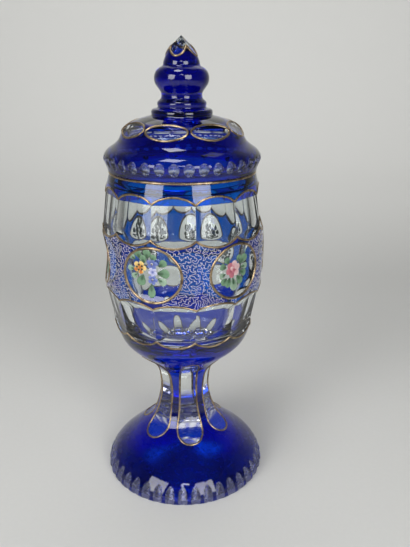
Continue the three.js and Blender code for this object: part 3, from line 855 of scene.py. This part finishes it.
class GOBLET_OT_scrollwork(bpy.types.Operator):
    """Draw the fine gold line that wanders over the belt between the medallions"""

    bl_idname = "goblet.scrollwork"
    bl_label = "Belt Scrollwork"

    def execute(self, context):
        sizes = context.scene.goblet_painter
        material = paste_gold(context.scene.goblet_painter_colours)
        rng = random.Random(sizes.seed)
        pitch = sizes.pitch / MM
        outside = smoothed(GOBLET_OUTSIDE, 2)
        lines = []
        for line in wandering_lines(pitch, sizes.margin / MM, rng):
            drawn = []
            for place in rounded(line, rng, 0.17 * pitch):
                across, height = swayed(*place)
                angle = across / BELT_RADIUS
                radius = radius_at(outside, height) + 0.8 * sizes.scroll / MM
                drawn.append(MM * Vector((
                    radius * math.sin(angle), -radius * math.cos(angle), height)))
            lines.append(drawn)
        piece = beads("belt_scrollwork", lines, sizes.scroll, material, 0)
        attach(piece, "goblet")
        return {"FINISHED"}


# Enamel colours, as the root and the tip of a stroke
LEAF = ("#1f4a2c", "#86b08a")
PALE_LEAF = ("#35684a", "#b4cdb4")
VEIN = ("#17331f", "#4c7a55")
YELLOW = ("#e8952c", "#fff0a0")
ORANGE = ("#b8501c", "#f29a3a")
SKY = ("#1f2f8c", "#8d9fe0")
LILAC = ("#7f86d2", "#f2f2ff")
ROSE = ("#8e2440", "#df8c9a")
BLUSH = ("#cf6a7c", "#fbe9e6")
WHITE = ("#d8d4c4", "#fbfaf4")
DARK = ("#2a1810", "#2a1810")
# From behind, through the glass, every colour shows its grey-green ground
UNDERSIDE = shade("#7c8478")


def heading(angle):
    """The way that an angle points on the unrolled medallion, in degrees from straight up."""
    return Vector((math.sin(math.radians(angle)), math.cos(math.radians(angle))))


def stroke(bm, place, middle, angle, length, width, colours, lift=0.0, thick=0.35):
    """One stroke of enamel: a closed petal, round at its tip, drawn in towards its root."""
    paint = bm.verts.layers.float_color["paint"]
    made = bmesh.ops.create_uvsphere(bm, u_segments=12, v_segments=7, radius=1)["verts"]
    root, tip = linear(colours[0]), linear(colours[1])
    along = heading(angle)
    beside = Vector((along.y, -along.x))
    for v in made:
        s, t, h = v.co.y, v.co.x, v.co.z
        narrow = 0.62 + 0.38 * s if s < 0.4 else 0.77
        flat = Vector(middle) + along * (s * length / 2) + beside * (t * narrow * width / 2 / 0.77)
        share = min(1, max(0, 0.5 + 0.5 * s)) ** 0.7 * (0.7 + 0.3 * abs(t))
        v[paint] = (*[a + (b - a) * share for a, b in zip(root, tip)], 1) if h > -0.2 else UNDERSIDE
        v.co = place(flat.x, flat.y, lift + thick * h)


def flower(bm, place, middle, petals, size, colours, heart, turned=0.0):
    """Round petals about a heart."""
    for k in range(petals):
        angle = turned + 360 * k / petals
        petal = Vector(middle) + 0.56 * size * heading(angle)
        stroke(bm, place, petal, angle, 1.02 * size, 0.98 * size, colours, 0.12)
    stroke(bm, place, middle, 0, size * 0.5, size * 0.5, heart, 0.42)


def leaf(bm, place, middle, angle, length, width, colours, lift):
    """A leaf, with a narrow dark stroke over its root."""
    stroke(bm, place, middle, angle, length, width, colours, lift)
    root = Vector(middle) - 0.14 * length * heading(angle)
    stroke(bm, place, root, angle, 0.6 * length, 0.42 * width, VEIN, lift + 0.07)


def primrose_posy(bm, place):
    """A yellow primrose and two forget-me-nots among leaves."""
    leaves = [
        (-14, 12, -46, 5.6, 5.4), (-9.6, 14.4, -24, 7, 6.8), (-3.2, 15, 4, 7.4, 7),
        (0.8, 12.4, 30, 6, 5.6), (-6.4, 11, -8, 6.6, 6), (-15.4, 3.6, -88, 5.6, 5),
        (-8.2, -4, -160, 8.4, 8), (-13, -1.2, -122, 5.4, 5), (7.2, 8.8, 50, 7.6, 6.4),
        (7.6, 2, 84, 9.4, 8), (6.6, -3.6, 118, 7.4, 6.4), (-0.6, -11, 178, 10, 6.8),
    ]
    for k, (u, v, angle, length, width) in enumerate(leaves):
        tones = PALE_LEAF if k in (0, 5, 7, 10) else LEAF
        leaf(bm, place, (u, v), angle, length, width, tones, 0.02 * k)
    flower(bm, place, (-0.2, -3.2), 5, 3.4, SKY, WHITE, 20)
    flower(bm, place, (-0.2, 8), 5, 3.9, SKY, WHITE, 10)
    flower(bm, place, (0, 2.2), 5, 3.3, LILAC, SKY, 40)
    primrose = Vector((-9.2, 4.8))
    flower(bm, place, primrose, 5, 4.6, YELLOW, ORANGE, 25)
    for angle in (169, 241):
        stroke(bm, place, primrose + 3 * heading(angle), angle, 3.6, 3.4, ORANGE, 0.2)
    for k in range(5):
        stroke(bm, place, primrose + 2 * heading(61 + 72 * k), 0, 1.8, 1.8, DARK, 0.7)
    for v in (-3.2, 8):
        stroke(bm, place, (-0.2, v), 0, 1.1, 1.1, DARK, 0.95)


def rose_posy(bm, place):
    """A pink rose with a bud, ringed by leaves."""
    leaves = [
        (-10, 4.4, -70, 6.4, 5.8), (-10.4, -1.6, -100, 5.8, 5.4), (-9.2, -6, -124, 6.4, 5.8),
        (-5.4, -7.4, -150, 7.6, 6.4), (-1, -9.4, 176, 9.6, 8), (4.4, -7, 146, 7.4, 6.8),
        (8, -2.8, 112, 6.4, 6), (9, 1.6, 84, 6.4, 5.8), (7.4, 7, 46, 9, 7.6),
        (-6.8, 8.2, -36, 6.4, 5.6), (3.2, 8.6, 12, 5.6, 5),
    ]
    for k, (u, v, angle, length, width) in enumerate(leaves):
        tones = PALE_LEAF if k in (1, 4, 7) else LEAF
        leaf(bm, place, (u, v), angle, length, width, tones, 0.02 * k)
    stroke(bm, place, (8.6, 13), 8, 7, 1.2, PALE_LEAF, 0.05)
    stroke(bm, place, (9.2, 16), 8, 3.6, 2.2, WHITE, 0.1)
    for k in range(6):
        angle = 60 * k + 12
        way = heading(angle)
        tones = ROSE if way.x < 0.2 else BLUSH
        stroke(bm, place, Vector((-1.2, 1.4)) + way * 3.5, angle + 24, 5.8, 5.8, tones, 0.24)
    for k in range(3):
        angle = 120 * k + 40
        petal = Vector((-1, 1.6)) + 1.5 * heading(angle)
        stroke(bm, place, petal, angle + 70, 3.8, 3.2, BLUSH if k != 1 else ROSE, 0.5)
    stroke(bm, place, (-1, 1.6), 30, 1.8, 1.5, ROSE, 0.85)


class GOBLET_OT_posies(bpy.types.Operator):
    """Paint a posy of enamel flowers in each medallion"""

    bl_idname = "goblet.posies"
    bl_label = "Enamelled Posies"

    def execute(self, context):
        sizes = context.scene.goblet_glass
        material = painted_enamel()
        wheel_radius = sizes.wheel / MM
        distance = BELT_RADIUS - sizes.depth / MM + wheel_radius
        for k in range(MEDALLIONS):
            spin = Matrix.Rotation(math.tau * k / MEDALLIONS, 4, "Z")

            def place(u, v, lift):
                """A point u across and v up the hollow of this medallion, lifted off the glass."""
                a = v / wheel_radius
                reach = wheel_radius - lift
                return MM * (spin @ Vector((
                    u, reach * math.cos(a) - distance, BELT_Z + reach * math.sin(a))))

            bm = bmesh.new()
            bm.verts.layers.float_color.new("paint")
            (primrose_posy if k % 2 == 0 else rose_posy)(bm, place)
            piece = finish_mesh(bm, f"enamel_posy_{k + 1}", [material])
            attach(piece, "goblet")
            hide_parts(f"posy_{k + 1}")
        return {"FINISHED"}


def area_lamp(name, location, back, wide, tall, power, fan=180):
    """A rectangular lamp that no camera sees. It shines away from its back, fanned out by an
    angle in degrees."""
    data = bpy.data.lights.new(name, "AREA")
    data.shape = "RECTANGLE"
    data.size, data.size_y, data.energy = wide, tall, power
    data.spread = math.radians(fan)
    lamp = bpy.data.objects.new(name, data)
    lamp.visible_camera = False
    lamp.location = location
    lamp.rotation_euler = back.to_track_quat("Z", "Y").to_euler()
    bpy.context.scene.collection.objects.link(lamp)


class GOBLET_OT_stage(bpy.types.Operator):
    """Set up the paper backdrop, the window lights and the camera"""

    bl_idname = "goblet.stage"
    bl_label = "Stage"

    def execute(self, context):
        scene = context.scene
        paper = scene.goblet_stage.paper
        bend = [(2700 + 1000 * math.sin(a), 1000 - 1000 * math.cos(a))
                for a in (math.radians(5 * k) for k in range(19))]
        bm = bmesh.new()
        turn(bm, [(0, 0), (1400, 0), *bend, (3700, 3200)], 128, 0)
        a = math.radians(FACING)
        front = Vector((math.sin(a), -math.cos(a), 0))
        bmesh.ops.translate(bm, verts=bm.verts, vec=1.5 * front)
        backdrop = finish_mesh(bm, "backdrop", [paper_backdrop(paper)])
        backdrop.data.flip_normals()

        world = bpy.data.worlds.new("room")
        world.use_nodes = True
        world.node_tree.nodes["Background"].inputs["Color"].default_value = shade("#dfe4ea")
        world.node_tree.nodes["Background"].inputs["Strength"].default_value = 0.08
        scene.world = world

        window, ceiling = scene.goblet_stage.window_power, scene.goblet_stage.ceiling_power
        # As azimuth from the camera, elevation, distance, width, height, power and fan
        lamps = [
            ("left_window", -41, 18, 1.5, 0.7, 0.95, window, 120),
            ("right_window", 30, 18, 1.5, 0.7, 0.95, window, 120),
            ("spot", 1, 36, 1.7, 0.35, 0.12, 0.085 * window, 120),
            ("ceiling", -35, 75, 1.5, 0.5, 0.5, ceiling, 180),
            ("back_ceiling", 175, 54, 1.6, 1.2, 1.2, 0.5 * ceiling, 180),
        ]
        middle = Vector((0, 0, 0.17))
        for name, azimuth, elevation, distance, wide, tall, power, fan in lamps:
            b, e = math.radians(FACING + azimuth), math.radians(elevation)
            back = Vector((math.sin(b) * math.cos(e), -math.cos(b) * math.cos(e), math.sin(e)))
            area_lamp(name, middle + back * distance, back, wide, tall, power, fan)

        # One more lamp behind the goblet turns its back to it and lights the paper alone
        up = Vector((0, 0, 1))
        area_lamp("paper_lamp", 1.3 * up - 0.7 * front, front + 0.2 * up, 2.4, 0.5,
                  scene.goblet_stage.paper_power)

        data = bpy.data.cameras.new("camera")
        data.sensor_width = 36
        data.lens = data.sensor_width * FOCAL_PIXELS / FRAME_PIXELS
        data.clip_start, data.clip_end = 0.01, 20
        camera = bpy.data.objects.new("camera", data)
        tilt, roll = math.radians(CAMERA_TILT), math.radians(CAMERA_ROLL)
        stand = Matrix.Translation(CAMERA_PLACE)
        aim = Matrix.Rotation(math.pi / 2 - tilt, 4, "X") @ Matrix.Rotation(-roll, 4, "Z")
        camera.matrix_world = Matrix.Rotation(a, 4, "Z") @ stand @ aim
        scene.collection.objects.link(camera)
        scene.camera = camera
        scene.view_settings.view_transform = "Standard"
        return {"FINISHED"}


class GOBLET_PT_panel(bpy.types.Panel):
    """The goblet's pieces, with their sizes and colours"""

    bl_label = "Covered Goblet"
    bl_idname = "GOBLET_PT_panel"
    bl_space_type = "VIEW_3D"
    bl_region_type = "UI"
    bl_category = "Goblet"

    def draw(self, context):
        for group in GROUPS:
            settings = getattr(context.scene, group)
            box = self.layout.box()
            for name in settings.__annotations__:
                box.prop(settings, name)
        for operator in OPERATORS:
            self.layout.operator(operator.bl_idname)


GROUPS = {
    "goblet_glass": GlassSizes,
    "goblet_glass_colours": GlassColours,
    "goblet_painter": PainterSizes,
    "goblet_painter_colours": PainterColours,
    "goblet_stage": StageColours,
}
OPERATORS = [
    GOBLET_OT_goblet, GOBLET_OT_cover, GOBLET_OT_gilding, GOBLET_OT_scrollwork, GOBLET_OT_posies,
    GOBLET_OT_stage,
]


def register():
    for kind in [*GROUPS.values(), *OPERATORS, GOBLET_PT_panel]:
        bpy.utils.register_class(kind)
    for name, kind in GROUPS.items():
        setattr(bpy.types.Scene, name, bpy.props.PointerProperty(type=kind))


def unregister():
    for name in GROUPS:
        delattr(bpy.types.Scene, name)
    for kind in reversed([*GROUPS.values(), *OPERATORS, GOBLET_PT_panel]):
        bpy.utils.unregister_class(kind)


def main():
    """Makes every piece in order."""
    register()
    bpy.ops.goblet.goblet()
    bpy.ops.goblet.cover()
    bpy.ops.goblet.gilding()
    bpy.ops.goblet.scrollwork()
    bpy.ops.goblet.posies()
    bpy.ops.goblet.stage()


if __name__ == "__main__":
    main()
